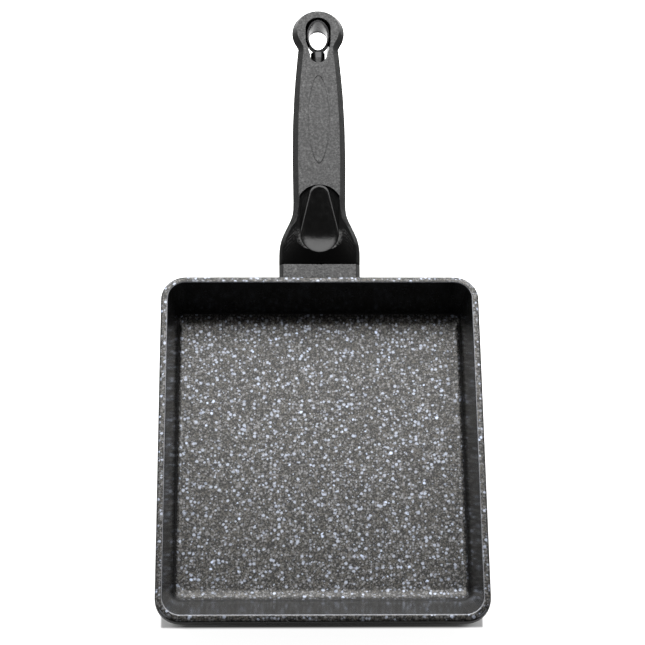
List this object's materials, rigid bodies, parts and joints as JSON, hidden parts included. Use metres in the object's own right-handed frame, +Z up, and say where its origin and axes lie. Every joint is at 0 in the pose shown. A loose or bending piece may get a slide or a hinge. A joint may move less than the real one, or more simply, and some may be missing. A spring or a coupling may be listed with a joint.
{
  "type": "tamagoyaki pan",
  "caption": "Rectangular rolled-omelette pan with a speckled coated cast vessel, a moulded handle with an inset thumb rest, and a chromed hanging eye on a tie rod.",
  "frame": {"origin": "on the standing surface, under the middle of the vessel's rim", "axes": "+Y from the sloping front wall towards the handle, +Z up out of the vessel, +X across it"},
  "size_m": [0.18, 0.374, 0.0582],
  "materials": {
    "coated_aluminium": "satin",
    "insert_brass": "satin",
    "guard_resin": "satin",
    "handle_resin": "satin",
    "rest_resin": "satin",
    "rod_steel": "satin",
    "eye_chrome": "polished"
  },
  "bodies": {
    "root": {"pan_body": "coated_aluminium", "threaded_insert": "insert_brass", "flame_guard": "guard_resin", "handle_body": "handle_resin", "thumb_rest": "rest_resin", "tie_rod": "rod_steel", "spring_washer": "rod_steel", "hang_eye": "eye_chrome"}
  },
  "joints": []
}
